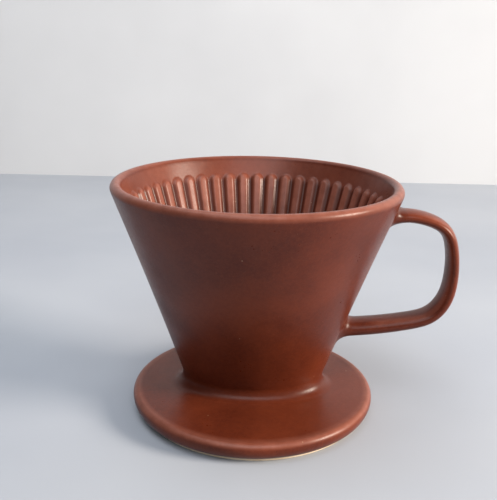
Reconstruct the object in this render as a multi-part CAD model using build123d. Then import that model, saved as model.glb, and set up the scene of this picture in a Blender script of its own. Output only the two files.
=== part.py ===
from build123d import *
import math
import os

# Pour over dripper in fired ceramic: a ribbed wedge cone on a saucer flange, with a strap handle.
# Frame: millimetres, +Z up. The origin is on the cone's axis, at the level of the foot.
# The cone's slot-shaped foot is long in X, and the handle stands out along +X.
# The clay pieces are luted together with slip, so neighbours meet face to face. Only the ribs, which
# are cast with the wall, stand a hair off it.

# Cone: every level section is an ellipse, and its half-axes grow evenly from the oval to the rim.
HEIGHT = 99.5
RIM_RADIUS = 59.0
WALL = 4.8
OVAL_LEVEL = 12.0
OVAL_HALF_LENGTH = 29.6
OVAL_HALF_WIDTH = 16.6
LIP_RADIUS = WALL / 2
LIP_LEVEL = HEIGHT - LIP_RADIUS
SEAM_TURN = 180

# Drain floor: it closes the cone from the flange's underside up to the inner floor.
FLOOR_LEVEL = 12.0
DRAIN_HOLE_RADIUS = 3.0
DRAIN_HOLE_SPACING = 11.0
DRAIN_HOLES = 3

# Filter ribs: bars along the wall's straight lines, with a sloped upper end. Each one stands off the
# wall by a hair, so that the bars and the wall are clean separate solids.
RIBS = 48
RIB_TOP_LEVEL = 92.0
RIB_SLOPE_LEVEL = 90.0
RIB_PITCH_SHARE = 0.58
RIB_HEIGHT_TOP = 1.3
RIB_HEIGHT_BOTTOM = 0.8
RIB_END_HEIGHT = 0.3
RIB_STAND_OFF = 0.02

# Saucer flange: a disc with a rounded edge, recessed below to sit over a mug.
FLANGE_RADIUS = 52.0
FLANGE_TOP = 9.0
FLANGE_EDGE_RADIUS = 2.5
GLAZE_EDGE_RADIUS = 48.9
GLAZE_EDGE_LEVEL = 1.6
FOOT_OUTER_RADIUS = 48.3
FOOT_CHAMFER = 0.8
RECESS_RADIUS = 41.5
RECESS_DEPTH = 5.0

# Handle: a strap along a line in the XZ plane, from above the upper root to the lower root.
# Each row is a point of the line and the strap's thickness there.
STRAP_LINE = [
    (50.0, 85.4, 5.2),
    (62.3, 86.0, 5.2),
    (71.5, 84.2, 5.1),
    (78.2, 80.0, 4.9),
    (81.5, 71.8, 4.9),
    (82.3, 60.0, 5.3),
    (80.3, 49.6, 5.8),
    (75.4, 43.2, 6.1),
    (65.5, 39.6, 6.5),
    (50.1, 37.2, 7.0),
    (32.0, 35.8, 7.2),
]
STRAP_DEPTH = 12.6
STRAP_EDGE_RADIUS = 2.2

# Slip beads: the fillets of slip along each joint.
BASE_BEAD_RADIUS = 3.4
UPPER_BEAD_RADIUS = 2.4
LOWER_BEAD_RADIUS = 2.3


def half_axes(level, inset=0.0):
    """Half-length and half-width of the cone at a level, moved inwards by inset."""
    share = (level - OVAL_LEVEL) / (LIP_LEVEL - OVAL_LEVEL)
    half_length = OVAL_HALF_LENGTH + share * (RIM_RADIUS - OVAL_HALF_LENGTH)
    half_width = OVAL_HALF_WIDTH + share * (RIM_RADIUS - OVAL_HALF_WIDTH)
    return half_length - inset, half_width - inset


def taper(low, high, inset=0.0):
    """The solid cone between two levels, moved inwards by inset, with its seam away from the handle."""
    sections = []
    for level in (low, high):
        half_length, half_width = half_axes(level, inset)
        sections.append(Pos(0, 0, level) * Ellipse(half_length, half_width, rotation=SEAM_TURN))
    return loft(sections, ruled=True)


def cone_wall():
    """The open wall, with a rounded lip as wide as the wall is thick."""
    wall = taper(RECESS_DEPTH, LIP_LEVEL) - taper(RECESS_DEPTH, LIP_LEVEL, WALL)
    lip_centre = RIM_RADIUS - LIP_RADIUS
    lip_profile = Plane.XZ * Pos(lip_centre, LIP_LEVEL) * Circle(LIP_RADIUS)
    lip_profile &= Plane.XZ * Pos(lip_centre, LIP_LEVEL + LIP_RADIUS) * Rectangle(WALL, WALL)
    return wall + revolve(lip_profile, Axis.Z)


def drain_floor():
    """The oval plate at the bottom of the cone, with a row of drain holes."""
    plate = taper(RECESS_DEPTH, FLOOR_LEVEL, WALL)
    for place in GridLocations(DRAIN_HOLE_SPACING, 0, DRAIN_HOLES, 1):
        plate -= place * Cylinder(DRAIN_HOLE_RADIUS, 4 * FLOOR_LEVEL)
    return plate


def in_cavity(angle, level, height):
    """The point that stands height proud of the wall's inner face at an angle and a level."""
    half_length, half_width = half_axes(level, WALL + height)
    return Vector(half_length * math.cos(angle), half_width * math.sin(angle), level)


def rib_section(angle, level, height):
    """The level section of a rib: full width on the wall, rounded off in steps to its crown."""
    half_angle = RIB_PITCH_SHARE * math.pi / RIBS
    outline = []
    for side_share, height_share in ((-1, 0), (-0.85, 0.6), (-0.5, 1), (0.5, 1), (0.85, 0.6), (1, 0)):
        proud = RIB_STAND_OFF + height_share * height
        outline.append(in_cavity(angle + side_share * half_angle, level, proud))
    return make_face(Polyline(*outline, close=True))


def filter_ribs():
    """The ribs, from the inner floor to the plain band below the rim."""
    ribs = []
    for index in range(RIBS):
        angle = 2 * math.pi * index / RIBS
        sections = [
            rib_section(angle, FLOOR_LEVEL, RIB_HEIGHT_BOTTOM),
            rib_section(angle, RIB_SLOPE_LEVEL, RIB_HEIGHT_TOP),
            rib_section(angle, RIB_TOP_LEVEL, RIB_END_HEIGHT),
        ]
        ribs.append(loft(sections, ruled=True))
    return Compound(children=ribs)


def saucer():
    """The whole saucer: flat on top, rounded at its edge and curving in to the foot."""
    with BuildSketch(Plane.XZ) as profile:
        with BuildLine():
            top = Line((0, FLANGE_TOP), (FLANGE_RADIUS - FLANGE_EDGE_RADIUS, FLANGE_TOP))
            edge = JernArc(top @ 1, (1, 0), FLANGE_EDGE_RADIUS, -90)
            side = TangentArc(edge @ 1, (GLAZE_EDGE_RADIUS, GLAZE_EDGE_LEVEL), tangent=(0, -1))
            Polyline(
                side @ 1,
                (RECESS_RADIUS, GLAZE_EDGE_LEVEL),
                (RECESS_RADIUS, RECESS_DEPTH),
                (0, RECESS_DEPTH),
                (0, FLANGE_TOP),
            )
        make_face()
    return revolve(profile.sketch, Axis.Z)


def foot_ring():
    """The bare clay ring that the dripper stands on."""
    ring_width = FOOT_OUTER_RADIUS - RECESS_RADIUS
    centre = (FOOT_OUTER_RADIUS + RECESS_RADIUS) / 2
    section = Plane.XZ * Pos(centre, GLAZE_EDGE_LEVEL / 2) * Rectangle(ring_width, GLAZE_EDGE_LEVEL)
    ring = revolve(section, Axis.Z)
    standing_edges = ring.edges().group_by(Axis.Z)[0]
    return chamfer(standing_edges, FOOT_CHAMFER)


def strap_side(sign):
    """The points of one side of the strap: half its thickness from the line, left (1) or right (-1)."""
    points = []
    last = len(STRAP_LINE) - 1
    for index, (x, z, thickness) in enumerate(STRAP_LINE):
        before = STRAP_LINE[max(index - 1, 0)]
        after = STRAP_LINE[min(index + 1, last)]
        run = Vector(after[0] - before[0], after[1] - before[1]).normalized()
        offset = Vector(-run.Y, run.X) * (sign * thickness / 2)
        points.append((x + offset.X, z + offset.Y))
    return points


def strap():
    """The rounded strap, long enough at both roots to reach into the cone."""
    with BuildSketch(Plane.XZ) as outline:
        with BuildLine():
            outer = Spline(*strap_side(1))
            inner = Spline(*strap_side(-1))
            Line(outer @ 1, inner @ 1)
            Line(inner @ 0, outer @ 0)
        make_face()
    solid = extrude(outline.sketch, STRAP_DEPTH / 2, both=True)
    long_edges = solid.edges().filter_by(GeomType.BSPLINE)
    return fillet(long_edges, STRAP_EDGE_RADIUS)


def handle_beads(cone, handle):
    """The slip round the handle's lower and upper roots, in that order."""
    joined = cone + handle
    wall_face = joined.faces().sort_by(SortBy.AREA)[-1]
    roots = sorted(wall_face.inner_wires(), key=lambda root: root.center().Z)
    lower = fillet(roots[0].edges(), LOWER_BEAD_RADIUS) - joined
    upper = fillet(roots[1].edges(), UPPER_BEAD_RADIUS) - joined
    return lower, upper


def base_bead(cone, disc):
    """The slip between the cone's outer face and the top of the saucer."""
    joined = cone + disc
    corner = joined.edges().filter_by_position(Axis.Z, FLANGE_TOP, FLANGE_TOP).sort_by(SortBy.LENGTH)[0]
    return fillet(corner, BASE_BEAD_RADIUS) - joined


cone = taper(RECESS_DEPTH, LIP_LEVEL)
disc = saucer()
handle = strap() - cone
lower_bead, upper_bead = handle_beads(cone, handle)

nodes = {
    "cone_wall": cone_wall(),
    "filter_ribs": filter_ribs(),
    "drain_floor": drain_floor(),
    "saucer_flange": disc - cone,
    "foot_ring": foot_ring(),
    "base_slip_bead": base_bead(cone, disc),
    "handle": handle,
    "upper_handle_slip_bead": upper_bead,
    "lower_handle_slip_bead": lower_bead,
}

os.makedirs("parts", exist_ok=True)
for name, shape in nodes.items():
    export_step(shape, f"parts/{name}.step")
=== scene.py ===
import math

import bmesh
import bpy
import numpy as np
from mathutils import Matrix, Vector


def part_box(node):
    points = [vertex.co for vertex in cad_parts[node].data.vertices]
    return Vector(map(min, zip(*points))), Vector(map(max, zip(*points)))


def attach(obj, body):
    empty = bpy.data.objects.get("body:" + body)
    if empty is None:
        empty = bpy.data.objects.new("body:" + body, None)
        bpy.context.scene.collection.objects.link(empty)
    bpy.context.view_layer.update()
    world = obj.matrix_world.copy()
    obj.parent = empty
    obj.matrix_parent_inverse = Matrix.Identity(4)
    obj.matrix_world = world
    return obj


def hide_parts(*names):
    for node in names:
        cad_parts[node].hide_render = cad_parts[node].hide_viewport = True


# Looks of the ceramic pour over dripper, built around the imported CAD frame.
# Lengths are metres. The origin is on the cone's axis at the level of the foot, +Z is up, and +X is
# the handle's side.

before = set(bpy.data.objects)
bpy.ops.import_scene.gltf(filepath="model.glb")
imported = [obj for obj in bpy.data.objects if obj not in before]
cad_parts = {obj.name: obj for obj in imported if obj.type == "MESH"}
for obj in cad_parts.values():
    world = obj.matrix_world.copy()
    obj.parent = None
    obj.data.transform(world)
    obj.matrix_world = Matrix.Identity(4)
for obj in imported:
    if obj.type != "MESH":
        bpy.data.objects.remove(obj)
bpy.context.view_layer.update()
MM = 0.001

# Sizes that the frame gives
WALL_LOW, WALL_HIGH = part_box("cone_wall")
FLANGE_LOW, FLANGE_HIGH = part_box("saucer_flange")
FOOT_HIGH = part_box("foot_ring")[1]
FLOOR_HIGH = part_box("drain_floor")[1]
HANDLE_LOW, HANDLE_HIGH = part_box("handle")
RIM_RADIUS = WALL_HIGH[0]
HEIGHT = WALL_HIGH[2]
UNDERSIDE = WALL_LOW[2]
FLOOR_LEVEL = FLOOR_HIGH[2]
FLANGE_RADIUS = FLANGE_HIGH[0]
FLANGE_TOP = FLANGE_HIGH[2]
GLAZE_EDGE_LEVEL = FLANGE_LOW[2]
FOOT_RADIUS = FOOT_HIGH[0]

# Cone: every level section is an oval, and its sides are slightly hollow from the foot to the rim.
WALL = 4.8 * MM
LIP_LEVEL = HEIGHT - WALL / 2
OVAL_LEVEL = 12.0 * MM
OVAL_HALF_LENGTH = 29.6 * MM
OVAL_HALF_WIDTH = 16.6 * MM
WALL_HOLLOW = 0.35 * MM

# Ribs: each has a round upper end and soft shoulders, and runs down into the floor. A rib's width and
# half its shoulder's are shares of the pitch. The crown is the extra height of its middle, as a share.
RIBS = 48
RIB_TOP_CENTRE = 89.2 * MM
RIB_SHARE = 0.65
RIB_SHOULDER = 0.16
RIB_HEIGHT_TOP = 1.15 * MM
RIB_HEIGHT_BOTTOM = 0.75 * MM
RIB_CROWN = 0.10
RIB_END_TOP = RIB_TOP_CENTRE + 4.0 * MM
RIB_END_BOTTOM = RIB_TOP_CENTRE - 1.0 * MM
RIB_FOOT_LEVEL = FLOOR_LEVEL - 1.0 * MM

# Saucer flange and foot
FLANGE_EDGE_RADIUS = 2.5 * MM
GLAZE_EDGE_RADIUS = 48.9 * MM
GLAZE_ROLL = 0.35 * MM
RECESS_RADIUS = 41.5 * MM
RECESS_MOUTH_RADIUS = 0.5 * MM
RECESS_CORNER_RADIUS = 1.2 * MM
FOOT_WEAR = 0.75 * MM

# Fillet of slip round the cone's foot: its radius on the long sides and at the ends
BASE_BEAD_RADIUS = 3.4 * MM
BASE_BEAD_END_RADIUS = 5.0 * MM

# Drain holes
HOLE_RADIUS = 3.0 * MM
HOLE_SPACING = 11.0 * MM
HOLE_EDGE_RADIUS = 0.9 * MM

# Handle strap: the line's points in the XZ plane and the thickness at each, in millimetres
STRAP_LINE = [
    (50.0, 85.4, 5.2),
    (62.3, 86.0, 5.2),
    (71.5, 84.2, 5.1),
    (78.2, 80.0, 4.9),
    (81.5, 71.8, 4.9),
    (82.3, 60.0, 5.3),
    (80.3, 49.6, 5.8),
    (75.4, 43.2, 6.1),
    (65.5, 39.6, 6.5),
    (50.1, 37.2, 7.0),
    (32.0, 35.8, 7.2),
]
STRAP_DEPTH = HANDLE_HIGH[1] - HANDLE_LOW[1]
STRAP_SQUARENESS = 2.1

# Slip at the handle's roots: how far it spreads on the wall, and how far it tapers along the strap
UPPER_BEAD_REACH = 4.8 * MM
UPPER_BEAD_TAPER = 8.0 * MM
LOWER_BEAD_REACH = 4.4 * MM
LOWER_BEAD_TAPER = 5.5 * MM

# How far the meshes reach into each other, and the steps that keep their faces apart
CONE_STEP = 0.5 * MM
FLANGE_OVERLAP = 1.0 * MM
FOOT_OVERLAP = 0.2 * MM
FOOT_SEAT = 0.05 * MM
FOOT_SEAT_INSET = 1.0 * MM
PLATE_OVERLAP = 1.2 * MM
PLATE_STEP = 0.15 * MM
BASE_BEAD_DEPTH = 0.5 * MM
ROOT_BEAD_DEPTH = 0.6 * MM

# Two marks, from 0 to 1, say where the glaze is lighter and where it gathers ("pool"). The lighter mark is
# thin glaze on ribs, ridges and edges, with painted sheen over the whole inside and painted highlight on
# the lip and the flange's rounded edge. On the strap, the start and the fade are shares of its length, from
# either root.
# Painted sheen: the whole inside, ribs and grooves too, takes this share of the pinkish thin-glaze colour.
INSIDE_PAINTED_SHEEN = 0.35
RIB_THIN_START = 2 / 7
POOL_START = RIB_TOP_CENTRE + 2.0 * MM
POOL_FADE = 3.0 * MM
# The flange's rounded top edge is lighter round this level: thin glaze there, and a painted highlight.
EDGE_THIN_AND_HIGHLIGHT_LEVEL = FLANGE_TOP - 0.7 * MM
EDGE_THIN_AND_HIGHLIGHT_REACH = 1.6 * MM
BEAD_POOL = 0.6
STRAP_THINNESS = 0.5
STRAP_RIDGE_START = 0.75
STRAP_THIN_START = 0.10
STRAP_THIN_FADE = 0.08

# Detail of the meshes
COLUMNS = RIBS * 18
OUTSIDE_ROWS = 22
PLAIN_BAND_ROWS = 4
RIB_END_ROWS = 22
RIB_RUN_ROWS = 34
LIP_TURNS = np.radians(np.linspace(0, 180, 23))
ROUND_COLUMNS = 256
FLANGE_EDGE_ROWS = 14
FLANGE_SIDE_ROWS = 18
FLANGE_TOP_ROWS = 12
FLANGE_UNDER_ROWS = 8
SMALL_ARC_ROWS = 5
RECESS_CORNER_ROWS = 7
FOOT_WEAR_ROWS = 8
BASE_BEAD_ROWS = 15
BORDER_STEPS = 32
OVAL_STEPS = 64
HOLE_EDGE_ROWS = 7
PLATE_FLAT_ROWS = 2
STRAP_STATIONS = 260
STRAP_COLUMNS = 72
STRAP_ROWS = 190
STATIONS_IN_WALL = 6
ROOT_BEAD_ROWS = 13
# The gap between the strap's stations beside a root is measured at this one, clear of the wall.
STATION_PAST_ROOT = 39
SHARP_ANGLE = math.radians(50)
SLOPE_STEP = 1e-6
ON_OVAL_MARGIN = 1e-6
POINT_JOIN_DISTANCE = 0.02 * MM


# ---------------------------------------------------------------- mesh helpers

def ring_angles(count):
    """Evenly spaced angles for one turn."""
    return np.arange(count) * (2 * math.pi / count)


def around_axis(angle):
    """The point (x, y) of a circle of radius 1 at each angle."""
    return np.stack([np.cos(angle), np.sin(angle)], axis=-1)


def unit(vectors):
    """Vectors of the same directions with length 1."""
    return vectors / np.linalg.norm(vectors, axis=-1, keepdims=True)


def smoothstep(value):
    """0 below 0, 1 above 1, and a smooth rise between."""
    held = np.clip(value, 0.0, 1.0)
    return held * held * (3 - 2 * held)


def between(first, last, count):
    """Evenly spaced steps from first to last, without those two."""
    return [first * (1 - share) + last * share for share in np.linspace(0, 1, count + 2)[1:-1]]


def arc(centre, radius, start, end, count):
    """Points (r, z) along an arc, angles in degrees, both ends included."""
    return np.array(centre) + radius * around_axis(np.radians(np.linspace(start, end, count)))


def level_row(flat, level):
    """A row of points (x, y) at one level."""
    return np.column_stack([flat, np.full(len(flat), level)])


def quads(below, above):
    """Four-sided faces, all the way round, between rows of point numbers and the rows above them."""
    corners = [below, np.roll(below, -1, axis=-1), np.roll(above, -1, axis=-1), above]
    return np.stack(corners, axis=-1).reshape(-1, 4)


def loop_mesh(name, rows, marks=None, capped=False):
    """A closed piece from rows of points round a loop.

    The last row joins the first, or, if capped is true, a flat face closes each end.
    marks holds named values for every point, which the materials read.
    """
    rows = np.asarray(rows, float)
    row_count, column_count = rows.shape[:2]
    index = np.arange(row_count * column_count).reshape(row_count, column_count)
    if capped:
        faces = quads(index[:-1], index[1:]).tolist() + [index[0].tolist(), index[-1].tolist()]
    else:
        faces = quads(index, np.roll(index, -1, axis=0)).tolist()
    mesh = bpy.data.meshes.new(name)
    mesh.from_pydata(rows.reshape(-1, 3).tolist(), [], faces)
    for mark, values in (marks or {}).items():
        attribute = mesh.attributes.new(mark, "FLOAT", "POINT")
        attribute.data.foreach_set("value", np.asarray(values, np.float32).ravel())
    return add_piece(name, mesh)


def add_piece(name, mesh, join_distance=0.0):
    """Puts a closed mesh in the scene, its faces turned outwards and shaded smooth.

    Points that are no further apart than join_distance become one.
    """
    work = bmesh.new()
    work.from_mesh(mesh)
    bmesh.ops.remove_doubles(work, verts=work.verts, dist=join_distance)
    bmesh.ops.recalc_face_normals(work, faces=work.faces)
    work.to_mesh(mesh)
    work.free()
    mesh.shade_smooth()
    mesh.set_sharp_from_angle(angle=SHARP_ANGLE)
    piece = bpy.data.objects.new(name, mesh)
    bpy.context.scene.collection.objects.link(piece)
    return piece


# ---------------------------------------------------------------- the cone's shape

def outer_axes(level):
    """Half-length and half-width of the cone's outside at a level. It is hollow above the oval."""
    share = (level - OVAL_LEVEL) / (LIP_LEVEL - OVAL_LEVEL)
    hollow = WALL_HOLLOW * 4 * share * (1 - share) * (share > 0)
    half_length = OVAL_HALF_LENGTH + share * (RIM_RADIUS - OVAL_HALF_LENGTH) - hollow
    half_width = OVAL_HALF_WIDTH + share * (RIM_RADIUS - OVAL_HALF_WIDTH) - hollow
    return half_length, half_width


def oval_point(angle, level, inset):
    """The point of the cone at an angle and a level, with its half-axes made shorter by inset."""
    half_length, half_width = outer_axes(level)
    x = (half_length - inset) * np.cos(angle)
    y = (half_width - inset) * np.sin(angle)
    return np.stack(np.broadcast_arrays(x, y, level), axis=-1)


def oval_normal(angle, level, inset):
    """The outward normal of the cone at such a point."""
    along = oval_point(angle + SLOPE_STEP, level, inset) - oval_point(angle - SLOPE_STEP, level, inset)
    up = oval_point(angle, level + SLOPE_STEP, inset) - oval_point(angle, level - SLOPE_STEP, inset)
    return unit(np.cross(along, up))


def outer_point(angle, level):
    """The point of the cone's outside."""
    return oval_point(angle, level, 0.0)


def outer_normal(angle, level):
    """The outside's normal, away from the axis."""
    return oval_normal(angle, level, 0.0)


def inner_point(angle, level):
    """The point of the cone's inside without ribs."""
    return oval_point(angle, level, WALL)


def inner_normal(angle, level):
    """The inside's normal, towards the axis."""
    return -oval_normal(angle, level, WALL)


def rib_share(angle, level):
    """How much of a rib stands at a place, and how far the place is from the nearest rib's middle.

    The first is 1 on a rib, 0 in a groove and soft at the edges. The second is in pitches.
    """
    pitch_angle = 2 * math.pi / RIBS
    off = (angle / pitch_angle + 0.5) % 1.0 - 0.5
    half_pitch = pitch_angle / 2
    chord = inner_point(angle + half_pitch, level) - inner_point(angle - half_pitch, level)
    pitch = np.linalg.norm(chord, axis=-1)
    above = np.maximum(level - RIB_TOP_CENTRE, 0.0)
    distance = np.hypot(off * pitch, above)
    edge = RIB_SHARE / 2 * pitch
    soft = RIB_SHOULDER * pitch
    return smoothstep((edge + soft - distance) / (2 * soft)), off


# ---------------------------------------------------------------- the cone with its ribs

def lip_rows(angle):
    """The round lip: it leaves the outer face and meets the inner face without a crease."""
    normal = outer_normal(angle, LIP_LEVEL)
    half = WALL / 2 * np.hypot(normal[:, 0], normal[:, 1])
    start = outer_point(angle, HEIGHT - half * (1 - normal[:, 2]))
    centre = start - normal * half[:, None]
    up = unit(np.array([0, 0, 1]) - normal * normal[:, 2:])
    return [centre + (normal * math.cos(turn) + up * math.sin(turn)) * half[:, None] for turn in LIP_TURNS]


def ribbed_row(angle, level):
    """One row of the ribbed inside: its points, their lighter mark (painted sheen, rising to thin glaze on
    the ribs) and their pool mark.
    """
    share, off = rib_share(angle, level)
    run = np.clip((level - FLOOR_LEVEL) / (RIB_TOP_CENTRE - FLOOR_LEVEL), 0, 1)
    height = RIB_HEIGHT_BOTTOM + (RIB_HEIGHT_TOP - RIB_HEIGHT_BOTTOM) * run
    crown = 1 + RIB_CROWN * np.cos(np.clip(off / RIB_SHARE, -0.5, 0.5) * math.pi)
    points = inner_point(angle, level) + inner_normal(angle, level) * (height * share * crown)[:, None]
    on_top = smoothstep((share - RIB_THIN_START) / (1 - RIB_THIN_START))
    # Painted sheen over the whole inside, rising to full thin glaze on the ribs' tops.
    thin_and_sheen = INSIDE_PAINTED_SHEEN + (1 - INSIDE_PAINTED_SHEEN) * on_top
    pool = (1 - share) * smoothstep((POOL_START - level) / POOL_FADE)
    return points, thin_and_sheen, pool


def make_cone():
    """The wall, its lip and the ribs cast inside it, as one closed mesh."""
    angle = ring_angles(COLUMNS)
    unmarked = np.zeros(COLUMNS)
    # Painted sheen on the plain band inside the rim.
    inside_painted_sheen = np.full(COLUMNS, INSIDE_PAINTED_SHEEN)
    foot = UNDERSIDE + CONE_STEP
    lip = lip_rows(angle)
    outer_levels = [foot] + between(foot, lip[0][:, 2], OUTSIDE_ROWS)
    band_levels = between(lip[-1][:, 2], RIB_END_TOP, PLAIN_BAND_ROWS)
    rib_end_levels = np.linspace(RIB_END_TOP, RIB_END_BOTTOM, RIB_END_ROWS)
    rib_run_levels = np.linspace(RIB_END_BOTTOM, RIB_FOOT_LEVEL, RIB_RUN_ROWS)[1:]
    strips = [(outer_point(angle, level), unmarked, unmarked) for level in outer_levels]
    # The lip is lighter towards its top: thin glaze there, and a painted highlight.
    strips += [(row, np.full(COLUMNS, math.sin(turn)), unmarked) for row, turn in zip(lip, LIP_TURNS)]
    strips += [(inner_point(angle, level), inside_painted_sheen, unmarked) for level in band_levels]
    strips += [ribbed_row(angle, level) for level in [*rib_end_levels, *rib_run_levels]]
    strips.append((inner_point(angle, foot), unmarked, unmarked))
    rows, thin_and_sheen, pool = zip(*strips)
    return loop_mesh("cone_with_cast_ribs", rows, {"thin_and_sheen": thin_and_sheen, "pool": pool})


# ---------------------------------------------------------------- the saucer, its bead and the foot

def saucer_profile():
    """Points (r, z) from the edge of the top, round the side and under, to the recess ceiling."""
    edge_centre = (FLANGE_RADIUS - FLANGE_EDGE_RADIUS, FLANGE_TOP - FLANGE_EDGE_RADIUS)
    edge = arc(edge_centre, FLANGE_EDGE_RADIUS, 90, 0, FLANGE_EDGE_ROWS)
    drop = edge_centre[1] - GLAZE_EDGE_LEVEL
    inset = FLANGE_RADIUS - GLAZE_EDGE_RADIUS
    side_radius = (inset ** 2 + drop ** 2) / (2 * inset)
    side_end = -math.degrees(math.asin(drop / side_radius))
    side_centre = (FLANGE_RADIUS - side_radius, edge_centre[1])
    side = arc(side_centre, side_radius, 0, side_end, FLANGE_SIDE_ROWS)[1:]
    roll_centre = (GLAZE_EDGE_RADIUS - GLAZE_ROLL, GLAZE_EDGE_LEVEL + GLAZE_ROLL)
    roll = arc(roll_centre, GLAZE_ROLL, -40, -100, SMALL_ARC_ROWS)
    seat_level = GLAZE_EDGE_LEVEL + FOOT_SEAT
    seat = [(FOOT_RADIUS - FOOT_SEAT_INSET, seat_level), (RECESS_RADIUS + FOOT_SEAT_INSET, seat_level)]
    mouth_centre = (RECESS_RADIUS + RECESS_MOUTH_RADIUS, GLAZE_EDGE_LEVEL + RECESS_MOUTH_RADIUS)
    mouth = arc(mouth_centre, RECESS_MOUTH_RADIUS, 270, 180, SMALL_ARC_ROWS)
    corner_centre = (RECESS_RADIUS - RECESS_CORNER_RADIUS, UNDERSIDE - RECESS_CORNER_RADIUS)
    corner = arc(corner_centre, RECESS_CORNER_RADIUS, 0, 90, RECESS_CORNER_ROWS)
    return np.vstack([edge, side, roll, seat, mouth, corner])


def make_saucer():
    """The flange: round outside, and closing on an oval inside the cone's wall."""
    angle = ring_angles(ROUND_COLUMNS)
    around = around_axis(angle)
    profile = saucer_profile()
    oval = (outer_point(angle, FLANGE_TOP) - outer_normal(angle, FLANGE_TOP) * FLANGE_OVERLAP)[:, :2]
    lower_oval = inner_point(angle, UNDERSIDE)[:, :2]
    over = [oval] + between(oval, around * profile[0, 0], FLANGE_TOP_ROWS)
    under = between(around * profile[-1, 0], lower_oval, FLANGE_UNDER_ROWS) + [lower_oval]
    rows = [level_row(flat, FLANGE_TOP) for flat in over]
    rows += [level_row(around * radius, level) for radius, level in profile]
    rows += [level_row(flat, UNDERSIDE) for flat in under]
    thin_and_sheen = np.zeros((len(rows), ROUND_COLUMNS))
    # The rounded edge is lightened: thin glaze, and a painted highlight.
    on_edge = smoothstep(1 - np.abs(profile[:, 1] - EDGE_THIN_AND_HIGHLIGHT_LEVEL) / EDGE_THIN_AND_HIGHLIGHT_REACH)
    thin_and_sheen[len(over):len(over) + len(profile)] = on_edge[:, None]
    return loop_mesh("saucer_flange_glazed", rows, {"thin_and_sheen": thin_and_sheen})


def bead_marks(bead_rows, columns):
    """The pool mark of a bead: glaze gathers along its middle. The last row is hidden and has none."""
    pool = np.append(BEAD_POOL * np.sin(np.linspace(0, math.pi, bead_rows)), 0.0)
    return {"pool": np.repeat(pool[:, None], columns, axis=1)}


def make_base_bead():
    """The fillet of slip round the cone's oval foot, tangent to the wall and to the saucer."""
    angle = ring_angles(ROUND_COLUMNS)
    corner = outer_point(angle, FLANGE_TOP)
    normal = outer_normal(angle, FLANGE_TOP)
    flat_out = unit(normal * [1, 1, 0])
    slope = unit(np.cross(np.cross(normal, flat_out), normal))
    slope_up = slope * np.sign(slope[:, 2:])
    opening = np.arccos(np.clip((slope_up * flat_out).sum(axis=-1), -1, 1))
    radius = BASE_BEAD_RADIUS + (BASE_BEAD_END_RADIUS - BASE_BEAD_RADIUS) * np.cos(angle) ** 2
    reach = (radius / np.tan(opening / 2))[:, None]
    centre = corner + unit(slope_up + flat_out) * (radius / np.sin(opening / 2))[:, None]
    from_wall = corner + slope_up * reach - centre
    from_flange = corner + flat_out * reach - centre
    sweep = math.pi - opening
    rows = []
    for share in np.linspace(0, 1, BASE_BEAD_ROWS):
        wall_part = np.sin((1 - share) * sweep) / np.sin(sweep)
        flange_part = np.sin(share * sweep) / np.sin(sweep)
        rows.append(centre + from_wall * wall_part[:, None] + from_flange * flange_part[:, None])
    rows.append(corner - (normal + [0, 0, 1]) * BASE_BEAD_DEPTH)
    return loop_mesh("base_slip_fillet", rows, bead_marks(BASE_BEAD_ROWS, ROUND_COLUMNS))


def make_foot():
    """The bare clay ring: a softly worn rectangle in section, with its top hidden in the flange."""
    around = around_axis(ring_angles(ROUND_COLUMNS))
    top = GLAZE_EDGE_LEVEL + FOOT_OVERLAP
    profile = np.vstack([
        [(FOOT_RADIUS, top)],
        arc((FOOT_RADIUS - FOOT_WEAR, FOOT_WEAR), FOOT_WEAR, 0, -90, FOOT_WEAR_ROWS),
        arc((RECESS_RADIUS + FOOT_WEAR, FOOT_WEAR), FOOT_WEAR, -90, -180, FOOT_WEAR_ROWS),
        [(RECESS_RADIUS, top)],
    ])
    return loop_mesh("bare_foot_ring", [level_row(around * radius, level) for radius, level in profile])


# ---------------------------------------------------------------- the drain floor

def drain_cells(half_length, half_width):
    """The floor's cells, one round each hole: the hole's x, its borders' x and its corners' angles."""
    border = HOLE_SPACING / 2
    corner = math.atan2(half_width * math.sqrt(1 - (border / half_length) ** 2), border)
    return [
        (-HOLE_SPACING, [-border], [-corner, corner]),
        (0.0, [-border, border], [-corner, corner, math.pi - corner, math.pi + corner]),
        (HOLE_SPACING, [border], [math.pi - corner, math.pi + corner]),
    ]


def cell_angles(corners):
    """Angles round a hole that hit each corner of its cell. The sides are by turns border and oval."""
    ends = corners[1:] + [corners[0] + 2 * math.pi]
    sides = []
    for index, (start, end) in enumerate(zip(corners, ends)):
        steps = OVAL_STEPS if index % 2 else BORDER_STEPS
        sides.append(np.linspace(start, end, steps, endpoint=False))
    return np.concatenate(sides)


def cell_edge(hole_x, borders, angle, half_length, half_width):
    """How far a ray from a hole goes before it leaves its cell, through the oval or a border."""
    along, across = np.cos(angle), np.sin(angle)
    square = (along / half_length) ** 2 + (across / half_width) ** 2
    linear = 2 * hole_x * along / half_length ** 2
    constant = (hole_x / half_length) ** 2 - 1
    reach = (-linear + np.sqrt(linear ** 2 - 4 * square * constant)) / (2 * square)
    for border in borders:
        with np.errstate(divide="ignore"):
            to_border = (border - hole_x) / along
        reach = np.where(to_border > 0, np.minimum(reach, to_border), reach)
    return reach


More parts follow.
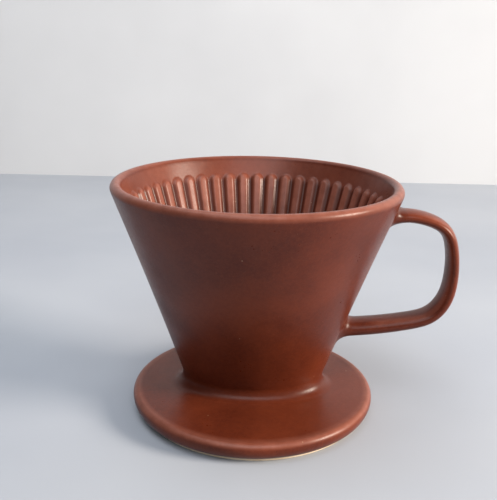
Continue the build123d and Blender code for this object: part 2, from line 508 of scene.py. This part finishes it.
def cell_rings(reach):
    """Radii and levels from a cell's edge on top, down through its hole, to its edge on the underside."""
    underside = UNDERSIDE + PLATE_STEP
    flat_radius = HOLE_RADIUS + HOLE_EDGE_RADIUS
    rim = arc((flat_radius, FLOOR_LEVEL - HOLE_EDGE_RADIUS), HOLE_EDGE_RADIUS, 90, 180, HOLE_EDGE_ROWS)
    low = arc((flat_radius, underside + HOLE_EDGE_RADIUS), HOLE_EDGE_RADIUS, 180, 270, HOLE_EDGE_ROWS)
    top = [reach] + between(reach, flat_radius, PLATE_FLAT_ROWS)
    rings = [(radius, FLOOR_LEVEL) for radius in top]
    rings += [(np.full(len(reach), radius), level) for radius, level in np.vstack([rim, low])]
    rings += [(radius, underside) for radius in top[::-1]]
    return rings


def make_drain_floor():
    """The oval floor with its soft-edged drain holes, in cells that share their borders."""
    half_length, half_width = [half_axis - WALL + PLATE_OVERLAP for half_axis in outer_axes(FLOOR_LEVEL)]
    points, faces = [], []
    for hole_x, borders, corners in drain_cells(half_length, half_width):
        angle = cell_angles(corners)
        around = around_axis(angle)
        reach = cell_edge(hole_x, borders, angle, half_length, half_width)
        rings = cell_rings(reach)
        index = len(points) + np.arange(len(rings) * len(angle)).reshape(len(rings), len(angle))
        for radius, level in rings:
            points += level_row(around * radius[:, None] + [hole_x, 0], level).tolist()
        faces += quads(index[:-1], index[1:]).tolist()
        edge = around * reach[:, None] + [hole_x, 0]
        on_oval = ((edge / [half_length, half_width]) ** 2).sum(axis=-1) > 1 - ON_OVAL_MARGIN
        faces += quads(index[-1], index[0])[on_oval & np.roll(on_oval, -1)].tolist()
    mesh = bpy.data.meshes.new("drain_floor_plate")
    mesh.from_pydata(points, [], faces)
    return add_piece("drain_floor_plate", mesh, POINT_JOIN_DISTANCE)


# ---------------------------------------------------------------- the handle and its slip

def smooth_curve(place, knots, fine):
    """A natural cubic spline through knots at given places, read at finer places."""
    last = len(place) - 1
    gap = np.diff(place)
    matrix = np.eye(len(place))
    right = np.zeros(knots.shape)
    for i in range(1, last):
        matrix[i, i - 1:i + 2] = (gap[i - 1], 2 * (gap[i - 1] + gap[i]), gap[i])
        right[i] = 6 * ((knots[i + 1] - knots[i]) / gap[i] - (knots[i] - knots[i - 1]) / gap[i - 1])
    bend = np.linalg.solve(matrix, right)
    span = np.clip(np.searchsorted(place, fine, side="right") - 1, 0, last - 1)
    width = gap[span][:, None]
    before = ((place[span + 1] - fine) / gap[span])[:, None]
    after = 1 - before
    straight = before * knots[span] + after * knots[span + 1]
    curved = (before ** 3 - before) * bend[span] + (after ** 3 - after) * bend[span + 1]
    return straight + curved * width ** 2 / 6


def strap_path():
    """Points, directions and thicknesses along the strap's line, evenly spaced."""
    knots = np.array(STRAP_LINE) * MM
    gap = np.linalg.norm(np.diff(knots[:, :2], axis=0), axis=1)
    place = np.concatenate([[0], np.cumsum(gap)])
    fine = np.linspace(0, place[-1], STRAP_STATIONS)
    values = smooth_curve(place, knots, fine)
    run = unit(np.gradient(values[:, :2], fine, axis=0))
    return values[:, :2], run, values[:, 2]


def squarish(value):
    """A cosine or sine bent so that the oval that it draws is a little squarer."""
    return np.sign(value) * np.abs(value) ** (2 / STRAP_SQUARENESS)


def strap_grid():
    """The strap's surface: a squarish oval section swept along its line."""
    centre, run, thickness = strap_path()
    angle = ring_angles(STRAP_COLUMNS)
    lift = thickness[:, None] / 2 * squarish(np.sin(angle))
    x = centre[:, :1] - run[:, 1:] * lift
    z = centre[:, 1:] + run[:, :1] * lift
    y = np.broadcast_to(squarish(np.cos(angle)) * STRAP_DEPTH / 2, x.shape)
    return np.stack([x, y, z], axis=-1)


def outside_cone(points):
    """How far points are outside the cone's outer oval, as a share: 0 on the face, above 0 outside."""
    half_length, half_width = outer_axes(points[..., 2])
    return np.hypot(points[..., 0] / half_length, points[..., 1] / half_width) - 1


def onto_cone(points):
    """Moves points level to the cone's outer face."""
    scale = 1 / (outside_cone(points) + 1)
    return points * np.stack([scale, scale, np.ones_like(scale)], axis=-1)


def root_crossing(grid):
    """Where each of the strap's long lines crosses the cone's face, as a station number."""
    outside = outside_cone(grid)
    crossing = []
    for column in range(grid.shape[1]):
        first = int(np.argmax(outside[:, column] > 0))
        before, after = outside[first - 1, column], outside[first, column]
        crossing.append(first - 1 + before / (before - after))
    return np.array(crossing)


def at_station(grid, station):
    """Points on the strap's long lines at a station number for each line."""
    low = np.clip(station.astype(int), 0, len(grid) - 2)
    share = (station - low)[:, None]
    column = np.arange(grid.shape[1])
    return grid[low, column] * (1 - share) + grid[low + 1, column] * share


def make_root_bead(name, grid, reach, taper):
    """The slip round one root. It spreads by reach on the wall, and tapers off along the strap."""
    crossing = root_crossing(grid)
    corner = onto_cone(at_station(grid, crossing))
    station_gap = np.linalg.norm(grid[STATION_PAST_ROOT + 1] - grid[STATION_PAST_ROOT], axis=-1)
    on_strap = at_station(grid, crossing + taper / station_gap)
    half_length, half_width = outer_axes(corner[:, 2])
    angle = np.arctan2(corner[:, 1] / half_width, corner[:, 0] / half_length)
    normal = outer_normal(angle, corner[:, 2])
    sideways = unit(np.cross(normal, np.roll(corner, -1, axis=0) - np.roll(corner, 1, axis=0)))
    from_middle = corner - corner.mean(axis=0)
    outward = sideways * np.sign((from_middle * sideways).sum(axis=-1, keepdims=True))
    on_wall = onto_cone(corner + outward * reach)
    rows = []
    for share in np.linspace(0, 1, ROOT_BEAD_ROWS):
        rows.append(on_wall * (1 - share) ** 2 + corner * 2 * share * (1 - share) + on_strap * share ** 2)
    rows.append(corner - (normal + outward) * ROOT_BEAD_DEPTH)
    return loop_mesh(name, rows, bead_marks(ROOT_BEAD_ROWS, STRAP_COLUMNS))


def make_handle():
    """The strap between the roots, and the two beads of slip. The glaze thins on the strap's ridges."""
    grid = strap_grid()
    from_below = grid[::-1]
    start = root_crossing(grid) - STATIONS_IN_WALL
    end = len(grid) - 1 - root_crossing(from_below) + STATIONS_IN_WALL
    at_ridge = np.abs(np.sin(2 * ring_angles(STRAP_COLUMNS)))
    ridge = STRAP_THINNESS * smoothstep((at_ridge - STRAP_RIDGE_START) / (1 - STRAP_RIDGE_START))
    rows, thin_and_sheen = [], []
    for share in np.linspace(0, 1, STRAP_ROWS):
        rows.append(at_station(grid, start * (1 - share) + end * share))
        clear_of_beads = smoothstep((min(share, 1 - share) - STRAP_THIN_START) / STRAP_THIN_FADE)
        thin_and_sheen.append(ridge * clear_of_beads)
    handle = loop_mesh("handle_strap", rows, {"thin_and_sheen": thin_and_sheen}, capped=True)
    upper_bead = make_root_bead("upper_handle_slip_fillet", grid, UPPER_BEAD_REACH, UPPER_BEAD_TAPER)
    lower_bead = make_root_bead("lower_handle_slip_fillet", from_below, LOWER_BEAD_REACH, LOWER_BEAD_TAPER)
    return handle, upper_bead, lower_bead


# ---------------------------------------------------------------- materials

# The Mix node repeats its sockets for each kind of value. These are the numbers of the colour ones.
MIX_FIRST = 6
MIX_SECOND = 7
MIX_RESULT = 2
# Each cell of the specks' grid has a random value. The step from a speck to none is this wide.
SPECK_CHOICE_STEP = 0.001


class Nodes:
    """Short ways to add nodes to a material."""

    def __init__(self, name):
        self.material = bpy.data.materials.new(name)
        self.material.use_nodes = True
        self.tree = self.material.node_tree
        self.shader = self.tree.nodes["Principled BSDF"]
        self.place = self.add("ShaderNodeTexCoord").outputs["Object"]

    def add(self, kind, **settings):
        """A new node with some of its settings."""
        node = self.tree.nodes.new(kind)
        for key, value in settings.items():
            setattr(node, key, value)
        return node

    def link(self, source, target):
        """Joins an output to an input."""
        self.tree.links.new(source, target)

    def feed(self, socket, value):
        """Gives an input its value, which is a number, a colour or another node's output."""
        if isinstance(value, (int, float)):
            socket.default_value = value
        elif isinstance(value, tuple):
            socket.default_value = (*value, 1)
        else:
            self.link(value, socket)

    def noise(self, size, detail=2.0, roughness=0.5):
        """Noise whose blotches are about size metres across."""
        node = self.add("ShaderNodeTexNoise")
        node.inputs["Scale"].default_value = 1 / size
        node.inputs["Detail"].default_value = detail
        node.inputs["Roughness"].default_value = roughness
        self.link(self.place, node.inputs["Vector"])
        return node.outputs["Fac"]

    def attribute(self, name):
        """A mark of the mesh, which is 0 on a mesh without it."""
        return self.add("ShaderNodeAttribute", attribute_name=name).outputs["Fac"]

    def spread(self, value, low, high, to_low=0.0, to_high=1.0):
        """Maps low..high to to_low..to_high, and holds it there."""
        node = self.add("ShaderNodeMapRange")
        node.inputs["From Min"].default_value = low
        node.inputs["From Max"].default_value = high
        node.inputs["To Min"].default_value = to_low
        node.inputs["To Max"].default_value = to_high
        self.link(value, node.inputs["Value"])
        return node.outputs["Result"]

    def combine(self, operation, first, second):
        """Arithmetic on two values, such as ADD or MULTIPLY."""
        node = self.add("ShaderNodeMath", operation=operation)
        self.feed(node.inputs[0], first)
        self.feed(node.inputs[1], second)
        return node.outputs[0]

    def scaled(self, value, factor):
        """A value times a factor."""
        return self.combine("MULTIPLY", value, factor)

    def mix(self, share, first, second):
        """A colour between two, by share."""
        node = self.add("ShaderNodeMix", data_type="RGBA")
        self.link(share, node.inputs["Factor"])
        self.feed(node.inputs[MIX_FIRST], first)
        self.feed(node.inputs[MIX_SECOND], second)
        return node.outputs[MIX_RESULT]

    def bump(self, height, distance, strength, before=None):
        """A normal from a height, on top of the normal before it."""
        node = self.add("ShaderNodeBump")
        node.inputs["Distance"].default_value = distance
        node.inputs["Strength"].default_value = strength
        self.link(height, node.inputs["Height"])
        if before is not None:
            self.link(before, node.inputs["Normal"])
        return node.outputs["Normal"]

    def specks(self, cell, size, share):
        """Small round specks: in a grid of cells, a share of the cells holds one."""
        node = self.add("ShaderNodeTexVoronoi")
        node.inputs["Scale"].default_value = 1 / cell
        self.link(self.place, node.inputs["Vector"])
        split = self.add("ShaderNodeSeparateColor")
        self.link(node.outputs["Color"], split.inputs["Color"])
        near = self.spread(node.outputs["Distance"], size / cell / 2, size / cell, 1.0, 0.0)
        chosen = self.spread(split.outputs["Red"], share, share + SPECK_CHOICE_STEP, 1.0, 0.0)
        return self.combine("MULTIPLY", near, chosen)


GLAZE_DEEP = (0.078, 0.0130, 0.0052)
GLAZE_BODY = (0.146, 0.0275, 0.0100)
# The pinkish colour of thin glaze, also laid on as painted sheen and painted highlight.
GLAZE_THIN_AND_SHEEN = (0.310, 0.1120, 0.0760)
GLAZE_POOL = (0.050, 0.0085, 0.0035)
GLAZE_PALE_SPECK = (0.42, 0.25, 0.16)
GLAZE_DARK_SPECK = (0.020, 0.008, 0.005)
GLAZE_IOR = 1.50
GLAZE_SPECULAR = 0.24


def glaze_colour(nodes, pale_specks, dark_specks):
    """Cloudy brown, lighter where the glaze thins and where sheen and highlights are painted, darker where
    it pools, with a few specks.
    """
    clouds = nodes.spread(nodes.noise(30.0 * MM, detail=4.0), 0.35, 0.65)
    mottle = nodes.spread(nodes.noise(1.6 * MM, detail=3.0, roughness=0.6), 0.35, 0.65)
    shade = nodes.combine("ADD", nodes.scaled(clouds, 0.72), nodes.scaled(mottle, 0.28))
    colour = nodes.mix(shade, GLAZE_DEEP, GLAZE_BODY)
    grain = nodes.spread(nodes.noise(0.6 * MM, detail=3.0, roughness=0.6), 0.52, 0.72, 0.0, 0.09)
    colour = nodes.mix(grain, colour, GLAZE_THIN_AND_SHEEN)
    ragged = nodes.spread(nodes.noise(4.0 * MM, detail=3.0), 0.3, 0.7, 0.6, 1.0)
    thin_and_sheen = nodes.combine("MULTIPLY", nodes.attribute("thin_and_sheen"), ragged)
    # Thin glaze, plus painted sheen over the inside and painted highlight on the lip and the flange's edge.
    colour = nodes.mix(nodes.scaled(thin_and_sheen, 0.65), colour, GLAZE_THIN_AND_SHEEN)
    colour = nodes.mix(nodes.scaled(nodes.attribute("pool"), 0.85), colour, GLAZE_POOL)
    colour = nodes.mix(nodes.scaled(pale_specks, 0.8), colour, GLAZE_PALE_SPECK)
    return nodes.mix(nodes.scaled(dark_specks, 0.8), colour, GLAZE_DARK_SPECK)


def glaze_normal(nodes, specks):
    """A faint wave and orange peel, with a shallow pit at each speck."""
    wave = nodes.bump(nodes.noise(11.0 * MM), distance=0.16 * MM, strength=0.45)
    peel = nodes.bump(nodes.noise(1.1 * MM, detail=3.0), distance=0.04 * MM, strength=0.50, before=wave)
    return nodes.bump(nodes.combine("SUBTRACT", 1.0, specks), distance=0.08 * MM, strength=0.6, before=peel)


def glaze_material():
    """Satin iron-brown glaze."""
    nodes = Nodes("satin_brown_glaze")
    pale_specks = nodes.specks(cell=6.0 * MM, size=0.27 * MM, share=0.35)
    dark_specks = nodes.specks(cell=4.5 * MM, size=0.22 * MM, share=0.16)
    broad = nodes.spread(nodes.noise(12.0 * MM, detail=3.0), 0.3, 0.7, 0.30, 0.38)
    fine = nodes.spread(nodes.noise(0.9 * MM), 0.3, 0.7, -0.04, 0.04)
    nodes.link(glaze_colour(nodes, pale_specks, dark_specks), nodes.shader.inputs["Base Color"])
    nodes.link(nodes.combine("ADD", broad, fine), nodes.shader.inputs["Roughness"])
    specks = nodes.combine("ADD", pale_specks, dark_specks)
    nodes.link(glaze_normal(nodes, specks), nodes.shader.inputs["Normal"])
    nodes.shader.inputs["IOR"].default_value = GLAZE_IOR
    nodes.shader.inputs["Specular IOR Level"].default_value = GLAZE_SPECULAR
    return nodes.material


CLAY_LIGHT = (0.86, 0.73, 0.56)
CLAY_DARK = (0.74, 0.59, 0.42)
CLAY_GRIT = (0.16, 0.09, 0.05)


def clay_material():
    """Bare fired clay: a dry cream body with fine grit and rubbed patches."""
    nodes = Nodes("bare_fired_clay")
    patches = nodes.spread(nodes.noise(8.0 * MM, detail=4.0), 0.3, 0.7)
    grit = nodes.specks(cell=1.2 * MM, size=0.22 * MM, share=0.3)
    colour = nodes.mix(nodes.scaled(grit, 0.7), nodes.mix(patches, CLAY_DARK, CLAY_LIGHT), CLAY_GRIT)
    roughness = nodes.spread(nodes.noise(2.0 * MM, detail=3.0), 0.3, 0.7, 0.78, 0.95)
    grain = nodes.bump(nodes.noise(0.4 * MM, detail=4.0, roughness=0.7), distance=0.06 * MM, strength=0.7)
    normal = nodes.bump(grit, distance=0.05 * MM, strength=0.5, before=grain)
    nodes.link(colour, nodes.shader.inputs["Base Color"])
    nodes.link(roughness, nodes.shader.inputs["Roughness"])
    nodes.link(normal, nodes.shader.inputs["Normal"])
    return nodes.material


FLOOR_COLOUR = (0.36, 0.388, 0.44)
FLOOR_CLOUD = (0.40, 0.428, 0.475)
BACKDROP_COLOUR = (0.55, 0.57, 0.60)
BACKDROP_CLOUD = (0.59, 0.61, 0.64)
STAGE_CLOUD_SIZE = 0.15
STAGE_ROUGHNESS = 0.9
STAGE_SPECULAR = 0.15


def stage_material(name, colour, cloud):
    """A plain pale matt surface with faint clouds."""
    nodes = Nodes(name)
    clouds = nodes.spread(nodes.noise(STAGE_CLOUD_SIZE, detail=3.0), 0.35, 0.65)
    nodes.link(nodes.mix(clouds, colour, cloud), nodes.shader.inputs["Base Color"])
    nodes.shader.inputs["Roughness"].default_value = STAGE_ROUGHNESS
    nodes.shader.inputs["Specular IOR Level"].default_value = STAGE_SPECULAR
    return nodes.material


# ---------------------------------------------------------------- stage, lights and camera

BACKDROP_DISTANCE = 0.49
STAGE_HALF_SIZE = 2.5
WARM = (1.0, 0.88, 0.75)
COOL = (0.92, 0.96, 1.0)
NEAR_WHITE = (0.97, 0.98, 1.0)
SKY_STRENGTH = 0.08


def plane_object(name, corners, material):
    """A flat four-sided face as an object."""
    mesh = bpy.data.meshes.new(name)
    mesh.from_pydata(corners, [], [(0, 1, 2, 3)])
    mesh.materials.append(material)
    plane = bpy.data.objects.new(name, mesh)
    bpy.context.scene.collection.objects.link(plane)
    return plane


def make_stage():
    """A pale floor and a pale wall behind it."""
    size = STAGE_HALF_SIZE
    back = BACKDROP_DISTANCE
    floor_corners = [(-size, -size, 0), (size, -size, 0), (size, size, 0), (-size, size, 0)]
    wall_corners = [(-size, back, 0), (size, back, 0), (size, back, size), (-size, back, size)]
    floor = plane_object("floor", floor_corners, stage_material("pale_floor", FLOOR_COLOUR, FLOOR_CLOUD))
    wall_material = stage_material("pale_backdrop", BACKDROP_COLOUR, BACKDROP_CLOUD)
    wall = plane_object("backdrop", wall_corners, wall_material)


def area_light(name, place, target, size, power, colour):
    """A soft square light at a place, facing a target."""
    data = bpy.data.lights.new(name, "AREA")
    data.shape = "SQUARE"
    data.size = size
    data.energy = power
    data.color = colour
    light = bpy.data.objects.new(name, data)
    light.location = place
    light.rotation_euler = (Vector(target) - Vector(place)).to_track_quat("-Z", "Y").to_euler()
    bpy.context.scene.collection.objects.link(light)


def make_lights():
    """A warm soft key from the right, a cool window above the camera, a wash on the wall and a dim sky."""
    area_light("key", place=(1.60, -0.46, 0.70), target=(0, 0, 0.05), size=0.56, power=58.0, colour=WARM)
    area_light("window", place=(0, -0.62, 0.88), target=(0, 0, 0.08), size=0.80, power=6.8, colour=COOL)
    wall = (0, BACKDROP_DISTANCE, 0.20)
    area_light("wall_wash", place=(-0.20, 0.05, 0.95), target=wall, size=0.60, power=3.6, colour=NEAR_WHITE)
    world = bpy.data.worlds.new("dim_sky")
    world.use_nodes = True
    sky = world.node_tree.nodes["Background"]
    sky.inputs["Color"].default_value = (*COOL, 1)
    sky.inputs["Strength"].default_value = SKY_STRENGTH
    bpy.context.scene.world = world


# The camera stands in front of the dripper, a little above it, turned and rolled by less than 2 degrees.
CAMERA_DISTANCE = 284.2 * MM
CAMERA_HEIGHT = 157.2 * MM
CAMERA_PITCH = 0.2992
CAMERA_YAW = -0.0103
CAMERA_ROLL = 0.0205
CAMERA_NEAR_LIMIT = 10 * MM
FOCAL_LENGTH_IN_IMAGE_HEIGHTS = 1.4242
SENSOR = 36.0


def make_camera():
    """The camera at the photograph's viewing angle."""
    data = bpy.data.cameras.new("camera")
    data.sensor_width = SENSOR
    data.lens = FOCAL_LENGTH_IN_IMAGE_HEIGHTS * SENSOR
    data.clip_start = CAMERA_NEAR_LIMIT
    camera = bpy.data.objects.new("camera", data)
    ahead = Vector((math.sin(CAMERA_YAW) * math.cos(CAMERA_PITCH),
                    math.cos(CAMERA_YAW) * math.cos(CAMERA_PITCH), -math.sin(CAMERA_PITCH)))
    level_right = Vector((math.cos(CAMERA_YAW), -math.sin(CAMERA_YAW), 0))
    level_up = level_right.cross(ahead)
    right = level_right * math.cos(CAMERA_ROLL) + level_up * math.sin(CAMERA_ROLL)
    up = level_up * math.cos(CAMERA_ROLL) - level_right * math.sin(CAMERA_ROLL)
    turn = Matrix((right, up, -ahead)).transposed().to_4x4()
    camera.matrix_world = Matrix.Translation((0, -CAMERA_DISTANCE, CAMERA_HEIGHT)) @ turn
    bpy.context.scene.collection.objects.link(camera)
    bpy.context.scene.camera = camera


def keep_colours():
    """Shows colours as they are: the default view transform would pale the saturated brown."""
    bpy.context.scene.view_settings.view_transform = "Standard"


# ---------------------------------------------------------------- the whole object

def show(piece, slot_name, material, *nodes):
    """Gives a piece its material, and sets it in place of its CAD nodes."""
    piece.data.materials.append(material)
    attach(piece, "root")
    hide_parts(*nodes)


glaze = glaze_material()
clay = clay_material()
handle, upper_bead, lower_bead = make_handle()
show(make_cone(), "glaze", glaze, "cone_wall", "filter_ribs")
show(make_saucer(), "glaze", glaze, "saucer_flange")
show(make_base_bead(), "glaze", glaze, "base_slip_bead")
show(make_drain_floor(), "glaze", glaze, "drain_floor")
show(make_foot(), "bare_clay", clay, "foot_ring")
show(handle, "glaze", glaze, "handle")
show(upper_bead, "glaze", glaze, "upper_handle_slip_bead")
show(lower_bead, "glaze", glaze, "lower_handle_slip_bead")
make_stage()
make_lights()
make_camera()
keep_colours()
